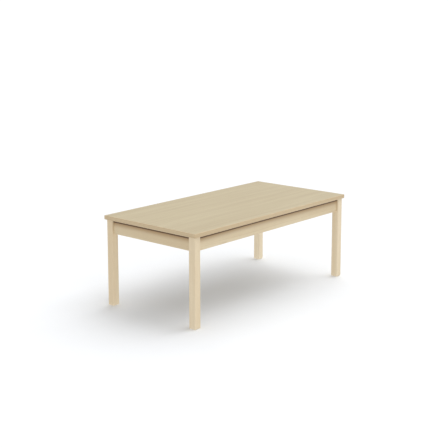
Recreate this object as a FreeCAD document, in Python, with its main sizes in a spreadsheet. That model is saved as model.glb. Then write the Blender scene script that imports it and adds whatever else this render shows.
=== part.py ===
import FreeCAD, Part
import math
import os
import re
import Sketcher
from FreeCAD import Placement, Rotation, Vector

# Low rectangular wooden table: a lipped, laminated board on four square legs and four aprons.
# +Z is up and the origin is on the floor under the middle of the top.
# X runs along the length and Y across the width; the front long side faces -Y.

# alias, value in millimetres, what it is
DIMENSIONS = [
    ("top_length", 1400, "length of the top"),
    ("top_width", 700, "width of the top"),
    ("table_height", 530, "floor to upper face of the top"),
    ("core_thickness", 22, "chipboard core of the top"),
    ("laminate_thickness", 0.8, "decorative and balancing laminate"),
    ("lipping_thickness", 3, "solid birch lipping round the edge of the top"),
    ("lipping_arris", 2, "rounding of the outer arrises of the lipping"),
    ("top_overhang", 10, "top beyond the outer faces of the legs"),
    ("leg_side", 45, "side of the square leg"),
    ("leg_arris", 5, "rounding of the leg's vertical arrises"),
    ("foot_chamfer", 3, "chamfer round the bottom of the leg"),
    ("leg_flat", 10, "cut off each way at the leg's inner corner, behind the bracket"),
    ("apron_height", 80, "height of the aprons"),
    ("apron_thickness", 22, "thickness of the aprons"),
    ("apron_recess", 10, "apron's outer face behind the leg's outer face"),
    ("apron_arris", 3, "rounding of the apron's lower arrises"),
    ("dowel_radius", 4, "beech dowel between apron and leg"),
    ("dowel_length", 40, "half in the apron and half in the leg"),
    ("dowel_chamfer", 1, "chamfer on the dowel's ends"),
    ("long_dowel_high", 14, "upper dowel of a long apron below the top's underside"),
    ("long_dowel_low", 58, "lower dowel of a long apron below the top's underside"),
    ("short_dowel_high", 24, "upper dowel of a short apron below the top's underside"),
    ("short_dowel_low", 68, "lower dowel of a short apron below the top's underside"),
    ("plate_thickness", 2.5, "steel of the corner bracket"),
    ("bracket_height", 60, "height of the corner bracket"),
    ("bracket_drop", 40, "middle of the corner bracket below the top's underside"),
    ("bracket_reach", 110, "x + y of the web's face, from the leg's outer corner"),
    ("wing_end", 108, "end of the bracket's wing from the leg's outer corner"),
    ("wing_screw_place", 94, "wing screws from the leg's outer corner"),
    ("wing_screw_spacing", 36, "distance between a wing's two screws"),
    ("hook_depth", 8, "bracket's hook into the apron's kerf"),
    ("kerf_depth", 9, "depth of the kerf"),
    ("kerf_gap", 0.25, "play each side of the hook in the kerf"),
    ("bend_radius", 1.5, "rounding of the folds in steel plate"),
    ("bolt_radius", 4, "M8 hanger bolt"),
    ("bolt_start", 22, "buried end of the bolt from the leg's outer corner, along the diagonal"),
    ("bolt_length", 70, "hanger bolt"),
    ("bolt_chamfer", 1, "chamfer on the bolt's ends"),
    ("bolt_clearance", 0.5, "play round the bolt in the bracket and the washer"),
    ("washer_radius", 10, "outer radius of the washer"),
    ("washer_thickness", 1.6, "thickness of the washer"),
    ("nut_width", 13, "across the flats of the M8 nut"),
    ("nut_height", 6.5, "height of the M8 nut"),
    ("screw_radius", 2, "shank of every wood screw"),
    ("screw_length", 16, "shank of every wood screw, under the head"),
    ("screw_point", 4, "length of the screw's point"),
    ("head_radius", 4, "pan head"),
    ("head_height", 2.6, "pan head"),
    ("head_edge", 1, "chamfer on the pan head"),
    ("screw_clearance", 0.25, "play round a screw in steel"),
    ("angle_leg", 30, "legs of the angle that holds the top"),
    ("angle_length", 40, "length of the angle that holds the top"),
    ("angle_thickness", 2, "steel of the angle"),
    ("angle_hole", 19, "hole from the outer corner of the angle"),
    ("angle_spacing", 700, "distance between the two angles on a long apron"),
    ("glide_radius", 19, "nylon glide under the leg"),
    ("glide_thickness", 3, "nylon glide under the leg"),
    ("glide_edge", 0.8, "chamfer round the glide's lower edge"),
    ("glide_sink", 1.8, "depth of the recess for the nail's head"),
    ("glide_sink_radius", 6, "recess for the nail's head"),
    ("nail_radius", 1.25, "shank of the glide's nail"),
    ("nail_length", 20, "shank of the glide's nail"),
    ("nail_head_radius", 4.5, "head of the glide's nail"),
    ("nail_head_height", 1, "head of the glide's nail"),
    ("nail_head_edge", 0.3, "chamfer on the nail's head"),
    ("nail_point", 2, "length of the nail's point"),
    ("cut_margin", 1, "how far a cut runs past the face it opens"),
]

# Lengths that several pieces share, worked out from the sheet.
LEG_TOP = "(table_height - core_thickness - 2 * laminate_thickness)"
APRON_INNER = "(apron_recess + apron_thickness)"
LONG_APRON = "(top_length - 2 * (top_overhang + leg_side))"
SHORT_APRON = "(top_width - 2 * (top_overhang + leg_side))"
WEB_BACK = "(bracket_reach + plate_thickness * sqrt(2))"

# Each corner: name, side along X, side along Y, turn of the corner's own axes about Z.
# In a corner's own axes the leg fills the square from (0, 0) to (leg_side, leg_side).
CORNERS = [
    ("front_left", -1, -1, 0),
    ("front_right", 1, -1, 90),
    ("back_right", 1, 1, 180),
    ("back_left", -1, 1, 270),
]

UPRIGHT = Rotation()
ALONG_X = Rotation(Vector(0, 0, 1), Vector(1, 0, 0))
ALONG_Y = Rotation(Vector(0, 0, 1), Vector(0, 1, 0))
ALONG_DIAGONAL = Rotation(Vector(0, 0, 1), Vector(1, 1, 0))
AGAINST_X = Rotation(Vector(0, 0, 1), Vector(-1, 0, 0))
AGAINST_Y = Rotation(Vector(0, 0, 1), Vector(0, -1, 0))

doc = FreeCAD.newDocument("Table")


def make_sheet():
    """Fill the spreadsheet with the driving dimensions."""
    sheet = doc.addObject("Spreadsheet::Sheet", "Dimensions")
    for row, (alias, value, note) in enumerate(DIMENSIONS, start=1):
        sheet.set(f"A{row}", alias)
        sheet.set(f"B{row}", str(value))
        sheet.set(f"C{row}", note)
        sheet.setAlias(f"B{row}", alias)
    doc.recompute()


def bind(item, field, formula):
    """Bind a property to a formula written with the sheet's aliases."""
    item.setExpression(field, re.sub(r"\b([a-z]+_[a-z_]+)\b", r"Dimensions.\1", formula))


def place(item, rotation, x="0", y="0", z="0"):
    """Turn an object and bind its position to formulas."""
    item.Placement = Placement(Vector(), rotation)
    for axis, formula in zip("xyz", (x, y, z)):
        bind(item, f"Placement.Base.{axis}", formula)


def moved(x, y, turn, along, inward):
    """Position of a point given in axes that stand at (x, y) and are turned by quarter turns."""
    cosine = round(math.cos(math.radians(turn)))
    sine = round(math.sin(math.radians(turn)))
    return (
        f"{x} + ({cosine}) * ({along}) + ({-sine}) * ({inward})",
        f"{y} + ({sine}) * ({along}) + ({cosine}) * ({inward})",
    )


def quarter(turn):
    """Turn about Z by an angle in degrees."""
    return Rotation(Vector(0, 0, 1), turn)


def at_corner(corner, along="0", inward="0"):
    """Position of a point given in a corner's own axes."""
    _, side_x, side_y, turn = corner
    x = f"{side_x} * (top_length / 2 - top_overhang)"
    y = f"{side_y} * (top_width / 2 - top_overhang)"
    return moved(x, y, turn, along, inward)


def new_sketch(body, name, plane, level):
    """Sketch on one of the body's origin planes, raised by a formula along the plane's normal."""
    sketch = body.newObject("Sketcher::SketchObject", f"{body.Name}_{name}")
    support = [item for item in body.Origin.OriginFeatures if item.Role == plane][0]
    sketch.AttachmentSupport = [(support, "")]
    sketch.MapMode = "FlatFace"
    bind(sketch, "AttachmentOffset.Base.z", level)
    return sketch


def outline(body, name, plane, corners, level="0"):
    """Closed outline with straight sides whose corners are pairs of formulas."""
    sketch = new_sketch(body, name, plane, level)
    count = len(corners)
    starts = []
    for index in range(count):
        turn = 2 * math.pi * index / count
        starts.append(Vector(10 * math.cos(turn), 10 * math.sin(turn), 0))
    for index, start in enumerate(starts):
        sketch.addGeometry(Part.LineSegment(start, starts[(index + 1) % count]), False)
    for index in range(count):
        sketch.addConstraint(Sketcher.Constraint("Coincident", index, 2, (index + 1) % count, 1))
    for index, (start, corner) in enumerate(zip(starts, corners)):
        for kind, value, formula in zip(("DistanceX", "DistanceY"), start, corner):
            number = sketch.addConstraint(Sketcher.Constraint(kind, -1, 1, index, 1, value))
            label = f"{kind}{index}"
            sketch.renameConstraint(number, label)
            bind(sketch, f"Constraints.{label}", formula)
    return sketch


def rectangle(low_x, low_y, high_x, high_y):
    """Corners of a rectangle, as pairs of formulas."""
    return [(low_x, low_y), (high_x, low_y), (high_x, high_y), (low_x, high_y)]


def pad(body, sketch, length, both_ways=False):
    """Pad a sketch along its normal, or equally both ways."""
    feature = body.newObject("PartDesign::Pad", f"{body.Name}_pad")
    feature.Profile = sketch
    if both_ways:
        feature.SideType = "Symmetric"
    bind(feature, "Length", length)
    doc.recompute()
    return feature


def pocket(body, sketch, depth, reverse=False):
    """Cut a sketch into the body, against its normal or along it."""
    feature = body.newObject("PartDesign::Pocket", f"{body.Name}_pocket")
    feature.Profile = sketch
    feature.Reversed = reverse
    bind(feature, "Length", depth)
    doc.recompute()
    return feature


def drill(body, name, radius, depth, rotation, x, y, z):
    """Drill a round hole from a point along the turned Z axis."""
    hole = body.newObject("PartDesign::SubtractiveCylinder", f"{body.Name}_{name}")
    place(hole, rotation, x, y, z)
    bind(hole, "Radius", radius)
    bind(hole, "Height", depth)


def dress(body, kind, field, size, test):
    """Round or chamfer the edges of the body's last feature that pass a test."""
    doc.recompute()
    base = body.Tip
    edges = [f"Edge{n}" for n, edge in enumerate(base.Shape.Edges, start=1) if test(edge)]
    feature = body.newObject(f"PartDesign::{kind}", f"{body.Name}_{kind}")
    feature.Base = (base, edges)
    bind(feature, field, size)
    doc.recompute()


def is_upright(edge):
    """Whether an edge runs straight up."""
    return abs(abs(edge.tangentAt(edge.FirstParameter).z) - 1) < 1e-6


def turned(name, profile):
    """Round piece: a half profile of (radius, height) formulas turned a full circle about Z."""
    body = doc.addObject("PartDesign::Body", name)
    sketch = outline(body, "profile", "XZ_Plane", profile)
    feature = body.newObject("PartDesign::Revolution", f"{name}_turn")
    feature.Profile = sketch
    feature.ReferenceAxis = (sketch, ["V_Axis"])
    feature.Angle = 360
    doc.recompute()
    return body


def group(name, master, placings):
    """Identical fasteners in one node: a link to the master for each (rotation, x, y, z)."""
    copies = []
    for number, placing in enumerate(placings, start=1):
        copy = doc.addObject("App::Link", f"{name}_{number}")
        copy.LinkedObject = master
        place(copy, *placing)
        copies.append(copy)
    node = doc.addObject("Part::Compound", name)
    node.Links = copies
    return node


def make_top():
    """Chipboard core between its balancing and decorative laminates."""
    half_x = "(top_length / 2 - lipping_thickness)"
    half_y = "(top_width / 2 - lipping_thickness)"
    plan = rectangle(f"-{half_x}", f"-{half_y}", half_x, half_y)
    layers = [
        ("balance_laminate", LEG_TOP, "laminate_thickness"),
        ("top_core", f"{LEG_TOP} + laminate_thickness", "core_thickness"),
        ("top_laminate", "table_height - laminate_thickness", "laminate_thickness"),
    ]
    nodes = []
    for name, level, thickness in layers:
        body = doc.addObject("PartDesign::Body", name)
        pad(body, outline(body, "plan", "XY_Plane", plan, level), thickness)
        nodes.append(body)
    depth = "screw_length - angle_thickness"
    for body in nodes[:2]:
        for name, x, y, turn in angle_spots():
            point = moved(x, y, turn, "0", "angle_hole")
            drill(body, f"pilot_{name}", "screw_radius", depth, UPRIGHT, *point, LEG_TOP)
    return nodes


def angle_spots():
    """Name, x, y and turn of each angle; its own origin is on the apron's inner face."""
    face_x = f"(top_length / 2 - top_overhang - {APRON_INNER})"
    face_y = f"(top_width / 2 - top_overhang - {APRON_INNER})"
    spots = [("left", f"-{face_x}", "0", 270), ("right", face_x, "0", 90)]
    for row, side_y, turn in (("front", -1, 0), ("back", 1, 180)):
        for end, side_x in (("left", -1), ("right", 1)):
            along = f"{side_x} * angle_spacing / 2"
            spots.append((f"{row}_{end}", along, f"{side_y} * {face_y}", turn))
    return spots


def make_lippings():
    """Solid lippings: the long ones cover the ends of the short ones."""
    long_side = "top_length"
    short_side = "(top_width - 2 * lipping_thickness)"
    # name, length, distance of the outer face from the middle, turn, whether its ends show
    lippings = [
        ("lipping_front", long_side, "0", "-top_width / 2", 0, True),
        ("lipping_right", short_side, "top_length / 2", "0", 90, False),
        ("lipping_back", long_side, "0", "top_width / 2", 180, True),
        ("lipping_left", short_side, "-top_length / 2", "0", 270, False),
    ]
    nodes = []
    for name, length, x, y, turn, ends_show in lippings:
        body = doc.addObject("PartDesign::Body", name)
        section = rectangle("0", LEG_TOP, "lipping_thickness", "table_height")
        pad(body, outline(body, "section", "YZ_Plane", section), length, both_ways=True)

        def on_outside(edge):
            """Whether an edge lies on the outer face, leaving out ends that are covered."""
            flat = all(abs(vertex.Y) < 1e-6 for vertex in edge.Vertexes)
            return flat and (ends_show or not is_upright(edge))

        dress(body, "Fillet", "Radius", "lipping_arris", on_outside)
        place(body, Rotation(Vector(0, 0, 1), turn), x, y)
        nodes.append(body)
    return nodes


def make_leg(corner):
    """Square leg with rounded arrises, a chamfered foot and a flat for the bracket's bolt."""
    name, side_x, side_y, turn = corner
    body = doc.addObject("PartDesign::Body", f"leg_{name}")
    square = rectangle("0", "0", "leg_side", "leg_side")
    blank = outline(body, "section", "XY_Plane", square, "glide_thickness")
    pad(body, blank, f"{LEG_TOP} - glide_thickness")
    dress(body, "Fillet", "Radius", "leg_arris", is_upright)
    bottom = body.Tip.Shape.BoundBox.ZMin
    dress(body, "Chamfer", "Size", "foot_chamfer", lambda edge: edge.BoundBox.ZMax < bottom + 1e-6)

    flat = [
        ("leg_side + cut_margin", "leg_side - leg_flat - cut_margin"),
        ("leg_side + cut_margin", "leg_side + cut_margin"),
        ("leg_side - leg_flat - cut_margin", "leg_side + cut_margin"),
    ]
    pocket(body, outline(body, "flat", "XY_Plane", flat, LEG_TOP), "apron_height")

    start = "bolt_start / sqrt(2)"
    drill(
        body, "bolt_hole", "bolt_radius", "bolt_length", ALONG_DIAGONAL,
        start, start, f"{LEG_TOP} - bracket_drop",
    )
    middle = "(apron_recess + apron_thickness / 2)"
    depth = "dowel_length / 2"
    inner = "leg_side - dowel_length / 2"
    # The leg's own +X face meets a long apron at two corners and a short one at the others.
    on_x, on_y = ("long", "short") if turn % 180 == 0 else ("short", "long")
    for level in ("high", "low"):
        height = f"{LEG_TOP} - {on_x}_dowel_{level}"
        drill(body, f"{on_x}_{level}", "dowel_radius", depth, ALONG_X, inner, middle, height)
        height = f"{LEG_TOP} - {on_y}_dowel_{level}"
        drill(body, f"{on_y}_{level}", "dowel_radius", depth, ALONG_Y, middle, inner, height)
    drill(
        body, "nail_hole", "nail_radius", "nail_length", UPRIGHT,
        "leg_side / 2", "leg_side / 2", "glide_sink",
    )
    place(body, quarter(corner[3]), *at_corner(corner))
    return body


def make_apron(name, length, kind, x, y, turn, angle_places):
    """Apron in its own axes: middle of the upper outer edge at the origin, inner side towards +Y."""
    body = doc.addObject("PartDesign::Body", name)
    section = rectangle("0", "-apron_height", "apron_thickness", "0")
    pad(body, outline(body, "section", "YZ_Plane", section), length, both_ways=True)
    bottom = body.Tip.Shape.BoundBox.ZMin

    def lower_arris(edge):
        """Whether an edge is one of the two long lower arrises."""
        return edge.BoundBox.ZMax < bottom + 1e-6 and edge.BoundBox.XLength > 1

    dress(body, "Fillet", "Radius", "apron_arris", lower_arris)

    for side in (-1, 1):
        label = "left" if side < 0 else "right"
        end = f"{side} * ({length} / 2"
        kerf = rectangle(
            f"{end} + leg_side - wing_end - kerf_gap)", "apron_thickness - kerf_depth",
            f"{end} + leg_side - wing_end + plate_thickness + kerf_gap)", "apron_thickness + cut_margin",
        )
        pocket(body, outline(body, f"kerf_{label}", "XY_Plane", kerf), "apron_height")
        inward = AGAINST_X if side > 0 else ALONG_X
        for level in ("high", "low"):
            drill(
                body, f"dowel_{label}_{level}", "dowel_radius", "dowel_length / 2", inward,
                f"{end})", "apron_thickness / 2", f"-{kind}_dowel_{level}",
            )
        for level, step in (("low", -1), ("high", 1)):
            drill(
                body, f"screw_{label}_{level}", "screw_radius", "screw_length - plate_thickness",
                AGAINST_Y, f"{end} + leg_side - wing_screw_place)", "apron_thickness",
                f"-bracket_drop + {step} * wing_screw_spacing / 2",
            )
    for number, along in enumerate(angle_places, start=1):
        drill(
            body, f"angle_screw{number}", "screw_radius", "screw_length - angle_thickness",
            AGAINST_Y, along, "apron_thickness", "-angle_hole",
        )
    place(body, Rotation(Vector(0, 0, 1), turn), x, y, LEG_TOP)
    return body


def make_bracket(corner):
    """Folded steel plate across a corner, hooked into kerfs in both aprons."""
    body = doc.addObject("PartDesign::Body", f"corner_bracket_{corner[0]}")
    wing_face = f"({APRON_INNER} + plate_thickness)"
    hook_back = "(wing_end - plate_thickness)"
    hook_tip = f"({APRON_INNER} - hook_depth)"
    half = [
        ("wing_end", wing_face),
        ("wing_end", hook_tip),
        (hook_back, hook_tip),
        (hook_back, APRON_INNER),
        (f"bracket_reach - {APRON_INNER}", APRON_INNER),
    ]
    fold = (f"{WEB_BACK} - {wing_face}", wing_face)
    other_half = [(y, x) for x, y in reversed(half)]
    points = half + other_half + [(fold[1], fold[0]), fold]
    low = f"{LEG_TOP} - bracket_drop - bracket_height / 2"
    pad(body, outline(body, "section", "XY_Plane", points, low), "bracket_height")

    box = body.Tip.Shape.BoundBox
    hook_side = box.XMax - doc.Dimensions.plate_thickness
    beyond_tips = box.XMin + doc.Dimensions.plate_thickness

    def is_fold(edge):
        """Whether an edge is a fold, leaving out hook tips and the corners that fit the kerfs."""
        at = edge.BoundBox.Center
        in_kerf = abs(max(at.x, at.y) - hook_side) < 1e-6
        return is_upright(edge) and min(at.x, at.y) > beyond_tips and not in_kerf

    dress(body, "Fillet", "Radius", "bend_radius", is_fold)

    middle = f"{LEG_TOP} - bracket_drop"
    web = "bracket_reach / 2 - plate_thickness"
    bore = "bolt_radius + bolt_clearance"
    drill(body, "bolt_hole", bore, "4 * plate_thickness", ALONG_DIAGONAL, web, web, middle)
    hole = "screw_radius + screw_clearance"
    depth = "2 * plate_thickness"
    start = f"{APRON_INNER} - cut_margin"
    for level, step in (("low", -1), ("high", 1)):
        height = f"{middle} + {step} * wing_screw_spacing / 2"
        drill(body, f"x_{level}", hole, depth, ALONG_Y, "wing_screw_place", start, height)
        drill(body, f"y_{level}", hole, depth, ALONG_X, start, "wing_screw_place", height)
    place(body, quarter(corner[3]), *at_corner(corner))
    return body


def make_angle(name, x, y, turn):
    """Steel angle that holds the top to an apron."""
    body = doc.addObject("PartDesign::Body", f"top_angle_{name}")
    section = [
        ("0", "0"),
        ("0", "-angle_leg"),
        ("angle_thickness", "-angle_leg"),
        ("angle_thickness", "-angle_thickness"),
        ("angle_leg", "-angle_thickness"),
        ("angle_leg", "0"),
    ]
    pad(body, outline(body, "section", "YZ_Plane", section), "angle_length", both_ways=True)
    thickness = doc.Dimensions.angle_thickness

    def is_fold(edge):
        """Whether an edge is the inner fold of the angle."""
        at = edge.BoundBox.Center
        return abs(at.y - thickness) < 1e-6 and abs(at.z + thickness) < 1e-6

    dress(body, "Fillet", "Radius", "bend_radius", is_fold)
    hole = "screw_radius + screw_clearance"
    depth = "2 * angle_thickness"
    drill(body, "apron_hole", hole, depth, ALONG_Y, "0", "-cut_margin", "-angle_hole")
    start = "-angle_thickness - cut_margin"
    drill(body, "top_hole", hole, depth, UPRIGHT, "0", "angle_hole", start)
    place(body, quarter(turn), x, y, LEG_TOP)
    return body


def make_glide(corner):
    """Nylon glide with a recess for its nail's head."""
    profile = [
        ("glide_sink_radius", "0"),
        ("glide_radius - glide_edge", "0"),
        ("glide_radius", "glide_edge"),
        ("glide_radius", "glide_thickness"),
        ("nail_radius", "glide_thickness"),
        ("nail_radius", "glide_sink"),
        ("glide_sink_radius", "glide_sink"),
    ]
    body = turned(f"glide_{corner[0]}", profile)
    place(body, UPRIGHT, *at_corner(corner, "leg_side / 2", "leg_side / 2"))
    return body


def pin_profile(radius, length, chamfer):
    """Half profile of a plain pin with chamfered ends."""
    return [
        ("0", "0"),
        (f"{radius} - {chamfer}", "0"),
        (radius, chamfer),
        (radius, f"{length} - {chamfer}"),
        (f"{radius} - {chamfer}", length),
        ("0", length),
    ]


def headed_profile(head_radius, head_height, head_edge, radius, length, point):
    """Half profile of a screw or nail: the head hangs below Z 0 and the shank points up."""
    return [
        ("0", f"-{head_height}"),
        (f"{head_radius} - {head_edge}", f"-{head_height}"),
        (head_radius, f"-{head_height} + {head_edge}"),
        (head_radius, "0"),
        (radius, "0"),
        (radius, f"{length} - {point}"),
        ("0", length),
    ]


def make_nut():
    """Hexagonal nut standing on Z 0."""
    body = doc.addObject("PartDesign::Body", "master_nut")
    half = "nut_width / 2"
    corner = "nut_width / sqrt(3)"
    hexagon = [
        (half, f"{corner} / 2"),
        ("0", corner),
        (f"-{half}", f"{corner} / 2"),
        (f"-{half}", f"-{corner} / 2"),
        ("0", f"-{corner}"),
        (half, f"-{corner} / 2"),
    ]
    pad(body, outline(body, "section", "XY_Plane", hexagon), "nut_height")
    drill(body, "bore", "bolt_radius", "nut_height", UPRIGHT, "0", "0", "0")
    return body


def make_bolt_groups():
    """Hanger bolts with their washers and nuts, one of each at every corner."""
    washer_profile = rectangle(
        "bolt_radius + bolt_clearance", "0", "washer_radius", "washer_thickness",
    )
    level = f"{LEG_TOP} - bracket_drop"
    web = "bracket_reach / 2 + plate_thickness / sqrt(2)"
    kinds = [
        ("hanger_bolts", "bolt_start / sqrt(2)",
         turned("master_bolt", pin_profile("bolt_radius", "bolt_length", "bolt_chamfer"))),
        ("bracket_washers", web, turned("master_washer", washer_profile)),
        ("bracket_nuts", f"{web} + washer_thickness / sqrt(2)", make_nut()),
    ]
    nodes = []
    for name, along, master in kinds:
        placings = []
        for corner in CORNERS:
            rotation = quarter(corner[3]) * ALONG_DIAGONAL
            placings.append((rotation, *at_corner(corner, along, along), level))
        nodes.append(group(name, master, placings))
    return nodes


def make_dowels():
    """Two beech dowels in each of the eight joints between apron and leg."""
    profile = pin_profile("dowel_radius", "dowel_length", "dowel_chamfer")
    inner = "leg_side - dowel_length / 2"
    middle = "apron_recess + apron_thickness / 2"
    placings = []
    for corner in CORNERS:
        turn = corner[3]
        kinds = ("long", "short") if turn % 180 == 0 else ("short", "long")
        sides = ((kinds[0], ALONG_X, inner, middle), (kinds[1], ALONG_Y, middle, inner))
        for kind, direction, along, inward in sides:
            for level in ("high", "low"):
                height = f"{LEG_TOP} - {kind}_dowel_{level}"
                point = at_corner(corner, along, inward)
                placings.append((quarter(turn) * direction, *point, height))
    return group("dowels", turned("master_dowel", profile), placings)


def make_screw_groups():
    """Pan-head screws of the corner brackets and of the angles, and the glides' nails."""
    screw_profile = headed_profile(
        "head_radius", "head_height", "head_edge", "screw_radius", "screw_length", "screw_point",
    )
    nail_profile = headed_profile(
        "nail_head_radius", "nail_head_height", "nail_head_edge",
        "nail_radius", "nail_length", "nail_point",
    )
    screw = turned("master_screw", screw_profile)
    nail = turned("master_nail", nail_profile)
    wing_face = f"{APRON_INNER} + plate_thickness"
    bracket, glide = [], []
    for corner in CORNERS:
        turn = quarter(corner[3])
        for step in (-1, 1):
            height = f"{LEG_TOP} - bracket_drop + {step} * wing_screw_spacing / 2"
            point = at_corner(corner, "wing_screw_place", wing_face)
            bracket.append((turn * AGAINST_Y, *point, height))
            point = at_corner(corner, wing_face, "wing_screw_place")
            bracket.append((turn * AGAINST_X, *point, height))
        centre = at_corner(corner, "leg_side / 2", "leg_side / 2")
        glide.append((UPRIGHT, *centre, "glide_sink"))
    to_apron, to_top = [], []
    for _, x, y, turn in angle_spots():
        point = moved(x, y, turn, "0", "angle_thickness")
        to_apron.append((quarter(turn) * AGAINST_Y, *point, f"{LEG_TOP} - angle_hole"))
        point = moved(x, y, turn, "0", "angle_hole")
        to_top.append((UPRIGHT, *point, f"{LEG_TOP} - angle_thickness"))
    return [
        group("bracket_screws", screw, bracket),
        group("angle_screws_apron", screw, to_apron),
        group("angle_screws_top", screw, to_top),
        group("glide_nails", nail, glide),
    ]


def make_aprons():
    """Two long and two short aprons."""
    face_x = "(top_length / 2 - top_overhang - apron_recess)"
    face_y = "(top_width / 2 - top_overhang - apron_recess)"
    pair = ("-angle_spacing / 2", "angle_spacing / 2")
    return [
        make_apron("apron_front", LONG_APRON, "long", "0", f"-{face_y}", 0, pair),
        make_apron("apron_right", SHORT_APRON, "short", face_x, "0", 90, ("0",)),
        make_apron("apron_back", LONG_APRON, "long", "0", face_y, 180, pair),
        make_apron("apron_left", SHORT_APRON, "short", f"-{face_x}", "0", 270, ("0",)),
    ]


def check_document(nodes):
    """Stop on a failed object, a cut that cuts nothing or a node that isn't sound."""
    for item in doc.Objects:
        if {"Invalid", "Error"} & set(item.State):
            raise RuntimeError(f"{item.Label} did not recompute: {item.State}")
        if item.TypeId in ("PartDesign::Pocket", "PartDesign::SubtractiveCylinder"):
            if item.Shape.Volume > item.BaseFeature.Shape.Volume - 1:
                raise RuntimeError(f"{item.Label} cuts nothing")
    for node in nodes:
        if node.Shape.isNull() or not node.Shape.isValid():
            raise RuntimeError(f"{node.Label} has no valid shape")
        expected = len(node.Links) if node.TypeId == "Part::Compound" else 1
        if len(node.Shape.Solids) != expected:
            raise RuntimeError(f"{node.Label} has {len(node.Shape.Solids)} solids")


make_sheet()
nodes = make_top() + make_lippings() + make_aprons()
nodes += [make_leg(corner) for corner in CORNERS]
nodes += [make_bracket(corner) for corner in CORNERS]
nodes += [make_glide(corner) for corner in CORNERS]
nodes += [make_angle(*spot) for spot in angle_spots()]
nodes += make_bolt_groups() + [make_dowels()] + make_screw_groups()
doc.recompute()
check_document(nodes)
os.makedirs("parts", exist_ok=True)
for node in nodes:
    node.Shape.exportStep(f"parts/{node.Label}.step")
    print(node.Label, len(node.Shape.Solids), round(node.Shape.Volume))
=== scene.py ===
"""Visual model of a low communion table: a birch-faced top with solid lippings on a bolted frame.

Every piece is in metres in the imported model's own frame: X along the top, Y across it, Z up, with
the origin on the floor under the middle of the top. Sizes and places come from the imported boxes.
"""

import logging
import math
from collections.abc import Callable, Iterator, Mapping, Sequence
from dataclasses import dataclass
from enum import Enum

import bmesh
import bpy
import numpy as np
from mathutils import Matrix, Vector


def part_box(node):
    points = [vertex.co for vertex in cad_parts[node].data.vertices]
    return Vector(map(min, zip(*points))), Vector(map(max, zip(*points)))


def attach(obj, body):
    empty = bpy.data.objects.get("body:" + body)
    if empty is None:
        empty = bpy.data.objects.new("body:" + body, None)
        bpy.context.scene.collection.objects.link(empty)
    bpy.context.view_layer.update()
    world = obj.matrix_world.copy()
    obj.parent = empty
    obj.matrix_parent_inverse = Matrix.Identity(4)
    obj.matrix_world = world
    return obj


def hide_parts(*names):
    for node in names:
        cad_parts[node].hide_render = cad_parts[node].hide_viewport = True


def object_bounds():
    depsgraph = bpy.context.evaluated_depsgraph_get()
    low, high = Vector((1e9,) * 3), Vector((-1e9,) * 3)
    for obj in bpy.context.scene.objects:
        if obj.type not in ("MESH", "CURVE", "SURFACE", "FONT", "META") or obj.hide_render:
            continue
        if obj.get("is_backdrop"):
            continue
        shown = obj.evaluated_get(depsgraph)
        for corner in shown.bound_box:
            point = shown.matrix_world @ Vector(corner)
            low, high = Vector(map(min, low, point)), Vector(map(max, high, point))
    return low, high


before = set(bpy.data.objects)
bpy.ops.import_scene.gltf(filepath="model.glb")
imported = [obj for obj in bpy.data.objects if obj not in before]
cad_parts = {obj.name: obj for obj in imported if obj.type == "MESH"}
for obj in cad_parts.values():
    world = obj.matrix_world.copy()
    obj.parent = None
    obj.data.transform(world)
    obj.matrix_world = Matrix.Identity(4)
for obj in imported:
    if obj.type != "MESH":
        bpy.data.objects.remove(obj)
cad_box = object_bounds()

log = logging.getLogger("table")

Array = np.ndarray
Material = bpy.types.Material
Object = bpy.types.Object
Colour = tuple[float, float, float, float]
MM = 0.001
# Points closer than this are one point, and edges that turn by more than this stay crisp.
MERGE = 0.001 * MM
CRISP = math.radians(32)


# ---- shader writing


def maths(operation: str, swapped: bool = False) -> Callable[..., "Sock"]:
    """Method of Sock that adds a Math node.

    Args:
        operation: Blender's name of the operation.
        swapped: Whether the other value comes first, as in a reflected form.

    Returns:
        The method.
    """

    def method(self: "Sock", other: "Sock | float" = 0.0) -> "Sock":
        """Add the Math node."""
        first, second = (other, self) if swapped else (self, other)
        return self.tree.node("ShaderNodeMath", {"operation": operation}, {0: first, 1: second})

    return method


class Sock:
    """One output of a shader node; arithmetic on it adds Math nodes to the same tree."""

    __add__ = __radd__ = maths("ADD")
    __sub__ = maths("SUBTRACT")
    __rsub__ = maths("SUBTRACT", swapped=True)
    __mul__ = __rmul__ = maths("MULTIPLY")
    __truediv__ = maths("DIVIDE")
    __rtruediv__ = maths("DIVIDE", swapped=True)
    __pow__ = maths("POWER")
    __abs__ = maths("ABSOLUTE")
    fraction = maths("FRACT")
    most = maths("MAXIMUM")

    def __init__(self, tree: "Tree", output: bpy.types.NodeSocket | None) -> None:
        """Wrap an output socket of a tree, or nothing for an output node."""
        self.tree = tree
        self.output = output

    def also(self, name: str) -> "Sock":
        """Another output of the same node."""
        return Sock(self.tree, self.output.node.outputs[name])

    def rise(self, start: float, end: float) -> "Sock":
        """Smooth step from 0 at start to 1 at end, where start is below end."""
        sockets = {"Value": self, "From Min": start, "From Max": end}
        return self.tree.node("ShaderNodeMapRange", {"interpolation_type": "SMOOTHSTEP"}, sockets)


Entry = Sock | float | Sequence[float]


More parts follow.
